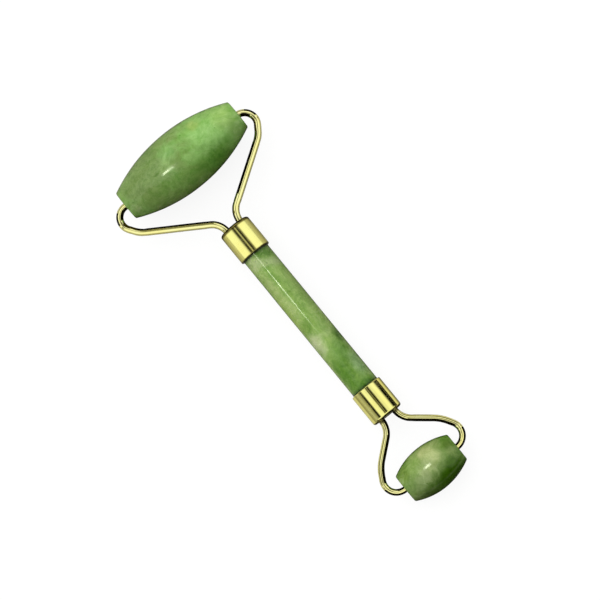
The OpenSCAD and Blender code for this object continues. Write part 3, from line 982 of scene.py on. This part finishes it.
def make_floor():
    """A square under the tool, tipped by about a degree because the tool lies on both barrels."""
    half_size, count = 3200.0, 8
    normal_x, normal_z, depth = 0.021277, 0.99977, 8.9393
    gap = 0.04
    verts, faces = [], []
    for i in range(count + 1):
        for j in range(count + 1):
            x = -half_size + 2 * half_size * i / count
            y = -half_size + 2 * half_size * j / count
            verts.append((x, y, -(depth + normal_x * x) / normal_z - gap))
    for i in range(count):
        for j in range(count):
            a = i * (count + 1) + j
            faces.append((a, a + count + 1, a + count + 2, a + 1))
    obj = new_object("floor", verts, faces)
    obj.data.materials.append(floor_material())


make_floor()

# ---------------------------------------------------------------- world
# Greys of the light tent, as (place, level, warmth); warmth is 0 where left out.
# For the seams, place is the angle in degrees from straight up towards +Y.
SEAMS_BIG = [
    (-160, 0.36), (-100, 0.40), (-90, 0.56), (-78, 1.0), (-44, 1.06), (-29, 1.0),
    (-20, 0.24, 0.6), (-13, 0.04, 1), (-6, 0.015, 1), (-2, 0.20, 0.5), (2, 0.62, 0.5),
    (6, 0.20, 0.5), (11, 0.03, 1), (19, 0.06, 1), (31, 0.90), (44, 1.04), (78, 1.06),
    (88, 0.70), (94, 0.52), (112, 0.40), (160, 0.36)]
SEAMS_SMALL = [
    (-150, 0.26), (-112, 0.20), (-94, 0.002), (-72, 0.004), (-65, 0.50), (-57, 1.02),
    (-42, 1.05), (-28, 0.86), (-20, 0.92), (-15, 0.30, 0.5), (-10, 0.0, 1), (-5, 0.0, 1),
    (-1, 0.26, 1), (3, 0.08, 1), (7, 0.08, 1), (13, 0.95), (38, 1.0), (46, 0.06, 1),
    (50, 0.01, 1), (56, 0.01, 1), (63, 0.30, 0.6), (74, 0.42), (84, 0.50), (102, 0.30, 1),
    (120, 0.58), (150, 0.5)]
# For the walls, place is the height: 0 straight down, 1 straight up.
LIT_SIDE = [
    (0.0, 0.30, 0.6), (0.42, 0.45, 0.4), (0.46, 0.25, 1), (0.50, 0.62, 0.4), (0.60, 0.75, 0.3),
    (0.64, 0.03, 1), (0.77, 0.03, 1), (0.82, 1.0), (1.0, 1.06)]
DARK_SIDE = [
    (0.0, 0.15, 1), (0.38, 0.26, 0.8), (0.44, 0.03, 1), (0.55, 0.04, 1), (0.62, 0.85, 0.3),
    (0.68, 1.0), (1.0, 1.06)]
BLACK_END = [
    (0.0, 0.05, 1), (0.40, 0.01, 1), (0.78, 0.004, 1), (0.84, 0.40, 0.5), (0.90, 1.0),
    (1.0, 1.06)]


def grey(level, warmth=0.0):
    return (level, level * (1 - 0.06 * warmth), level * (1 - 0.35 * warmth))


def grey_ramp(g, value, table):
    return g.ramp(value, [(place, grey(*tone)) for place, *tone in table], "LINEAR")


def light_tent(g, dx, dy, dz):
    """What mirror-like surfaces see, by direction."""
    turn = g.math("DIVIDE", g.math("ARCTAN2", dy, dz), math.pi)
    turn = g.math("MULTIPLY_ADD", turn, 0.5, 0.5)
    seams_big, seams_small = (
        grey_ramp(g, turn, [(0.5 + angle / 360.0, *tone) for angle, *tone in table])
        for table in (SEAMS_BIG, SEAMS_SMALL))
    seams = g.mix(g.fade(dx, over=(0.085, 0.105)), seams_small, seams_big)
    height = g.math("MULTIPLY_ADD", dz, 0.5, 0.5)
    lit_side = grey_ramp(g, height, LIT_SIDE)
    dark_side = grey_ramp(g, height, DARK_SIDE)
    # straight behind the small roller, at -X, the tent is dark
    flat_length = g.plus(g.times(dx, dx), g.math("MULTIPLY_ADD", dy, dy, 0.0001))
    behind = g.math("DIVIDE", g.times(dx, -1.0), g.math("SQRT", flat_length))
    black_end = grey_ramp(g, height, BLACK_END)
    dark_side = g.mix(g.fade(behind, over=(0.88, 0.95)), dark_side, black_end)
    walls = g.mix(g.fade(dx, over=(-0.15, 0.15)), dark_side, lit_side)
    inside = g.times(g.fade(dx, over=(-0.06, 0.0)),
                     g.fade(dx, over=(0.19, 0.25), to=(1.0, 0.0)))
    return g.mix(inside, walls, seams)


def soft_light(g, direction, dz):
    """Light for the stones, from above on the +X +Y side."""
    source = Vector((0.56, 0.15, 0.78)).normalized()
    strength, base = 2.00, 0.24
    below, above = (0.08, 0.09, 0.06), (1.0, 1.0, 0.985)
    lobe = g.vec("DOT_PRODUCT", direction, source)
    lobe = g.math("POWER", g.math("MAXIMUM", lobe, 0.0), 2.0)
    level = g.math("MULTIPLY_ADD", lobe, strength, base)
    return g.mix(g.fade(dz, over=(-0.15, 0.10)), below, g.scaled(above, level))


def make_world():
    """White to the camera, a light tent to mirrors, soft side light to the rest."""
    world = bpy.data.worlds.new("studio")
    bpy.context.scene.world = world
    g = Graph(world, "OutputWorld")
    direction = g.add("TexCoord").outputs["Generated"]
    dx, dy, dz = g.add("SeparateXYZ", {0: direction}).outputs
    mirror = light_tent(g, dx, dy, dz)
    soft = soft_light(g, direction, dz)
    path = g.add("LightPath")
    colour = g.mix(path.outputs["Is Glossy Ray"], soft, mirror)
    colour = g.mix(path.outputs["Is Camera Ray"], colour, (1.0, 1.0, 1.0))
    g.surface(g.add("Background", {"Color": colour}))


make_world()


# ---------------------------------------------------------------- key lights
def softbox(name, piece, place, aim_x, size_x, size_y, power):
    """A rectangular light that reaches only one piece. Metres and watts."""
    data = bpy.data.lights.new(name, "AREA")
    data.shape = "RECTANGLE"
    data.size, data.size_y = size_x, size_y
    data.energy = power
    obj = bpy.data.objects.new(name, data)
    bpy.context.scene.collection.objects.link(obj)
    obj.location = place
    direction = (Vector((aim_x, 0.0, 0.0)) - Vector(place)).normalized()
    x_axis = (Vector((1, 0, 0)) - direction * direction.x).normalized()
    y_axis = (-direction).cross(x_axis)
    obj.rotation_mode = "QUATERNION"
    obj.rotation_quaternion = Matrix((x_axis, y_axis, -direction)).transposed().to_quaternion()
    group = bpy.data.collections.new(name + "_reach")
    group.objects.link(piece)
    obj.light_linking.receiver_collection = group


# each stone gets its single highlight
softbox("key_big", big_stone, place=(0.026, 0.065, 0.285), aim_x=0.06,
        size_x=0.040, size_y=0.044, power=0.150)
softbox("key_handle", rod, place=(0.0455, 0.066, 0.285), aim_x=0.01,
        size_x=0.027, size_y=0.028, power=0.088)
softbox("key_small", small_stone, place=(0.026, 0.020, 0.285), aim_x=-0.06,
        size_x=0.065, size_y=0.052, power=0.27)

# ---------------------------------------------------------------- flags
# painted reflections: cards seen only in reflections, laying dark and pale bands on the wires
BLACK_CARD = (0.010, 0.009, 0.004)
OLIVE_CARD = (0.10, 0.085, 0.020)
TAN_CARD = (0.17, 0.15, 0.06)
CREAM_CARD = (0.90, 0.86, 0.56)


def flag(name, corners, top, foot=-8.8, tint=BLACK_CARD, sign=1):
    """An upright card beside a wire, seen only in reflections. corners are (x, y), with y
    multiplied by sign; top and foot are heights."""
    verts, faces = [], []
    for start, end in zip(corners, corners[1:]):
        points = [start] + line(start, end, 8)
        for (xa, ya), (xb, yb) in zip(points, points[1:]):
            k = len(verts)
            ya, yb = sign * ya, sign * yb
            verts += [(xa, ya, foot), (xb, yb, foot), (xb, yb, top), (xa, ya, top)]
            faces.append((k, k + 1, k + 2, k + 3))
    obj = new_object(name, verts, faces)
    g = Graph(bpy.data.materials.new(name + "_reflection_card"))
    card_tone = g.noise(g.coords(), scale=1.5, detail=3.0)
    colour = g.mix(card_tone, tuple(0.4 * v for v in tint), tint)
    g.surface(g.add("BsdfDiffuse", {"Color": colour}))
    obj.data.materials.append(g.owner)
    obj.visible_camera = obj.visible_diffuse = obj.visible_shadow = False
    obj.visible_transmission = obj.visible_volume_scatter = False


# "left" is +Y. start: where the card along the big leg begins; top: its height;
# tip_y: where the card at the big tip ends.
for sign, tag, start, top, tip_y in ((1, "left", (47.5, 1.6), 4.6, 22.95),
                                     (-1, "right", (50.2, 5.8), 9.5, 24.15)):
    leg = [start, (59.9, 20.3), (61.2, 22.6)]
    flag("flag_big_" + tag, leg, top, sign=sign)
    if sign > 0:
        flag("flag_big_high_" + tag, leg, 24.0, 4.8, CREAM_CARD)
    # the bend over the roller's end: inside it, at the tip, and round the outside
    flag("flag_big_bend_" + tag, [(58.6, 24.4), (62.6, 25.0)], 3.2, tint=OLIVE_CARD, sign=sign)
    flag("flag_big_tip_" + tag, [(63.2, 25.6), (63.2, tip_y), (65.0, tip_y)], 8.5, sign=sign)
    flag("flag_big_outer_" + tag,
         [(63.2, 31.0), (65.0, 30.6), (66.6, 29.8), (67.8, 28.8), (68.6, 27.8)], 3.8, sign=sign)
    flag("flag_small_root_" + tag, [(-39.1, 0.9), (-43.0, 0.9), (-45.5, 1.8)], 4.4, sign=sign)
    flag("flag_small_" + tag,
         [(-45.5, 1.8), (-53.0, 10.4), (-54.6, 11.4), (-55.7, 11.8)], 10.0, sign=sign)
    flag("flag_small_tip_" + tag, [(-58.3, 10.8), (-58.3, 12.0)], 3.2, sign=sign)
    flag("flag_small_outer_" + tag,
         [(-56.8, 18.0), (-59.6, 17.1), (-61.3, 15.9), (-62.6, 14.2), (-63.3, 12.4),
          (-63.5, 10.8)], 3.6, sign=sign)
    flag("flag_small_back_" + tag,
         [(-40.3, 5.9), (-42.0, 7.1), (-45.5, 11.3), (-47.9, 14.0), (-51.2, 16.4),
          (-55.1, 18.0)], 3.4, 2.3, TAN_CARD, sign)
flag("flag_big_root", [(39.1, 0.8), (44.0, 0.8), (47.0, 1.3)], 1.7, -1.2)


# ---------------------------------------------------------------- camera
def make_camera():
    """A long lens above the tool, tipped a little about Y and rolled about its own axis."""
    tip_cos, tip_sin = 0.99408, 0.10869
    roll_cos, roll_sin = 0.63348, 0.77376
    data = bpy.data.cameras.new("camera")
    camera = bpy.data.objects.new("camera", data)
    bpy.context.scene.collection.objects.link(camera)
    data.sensor_width = 36.0
    data.lens = 142.1
    data.clip_start, data.clip_end = 0.01, 20.0
    tipped_x, y_axis = Vector((tip_cos, 0, tip_sin)), Vector((0, 1, 0))
    right = -roll_cos * tipped_x - roll_sin * y_axis
    up = roll_sin * tipped_x - roll_cos * y_axis
    back = Vector((-tip_sin, 0, tip_cos))
    camera.rotation_mode = "QUATERNION"
    camera.rotation_quaternion = Matrix((right, up, back)).transposed().to_quaternion()
    camera.location = (-0.07483, -0.0015, 0.750)
    bpy.context.scene.camera = camera


make_camera()
bpy.context.scene.view_settings.view_transform = "Standard"
bpy.context.scene.view_settings.look = "None"
bpy.context.scene.cycles.use_denoising = True
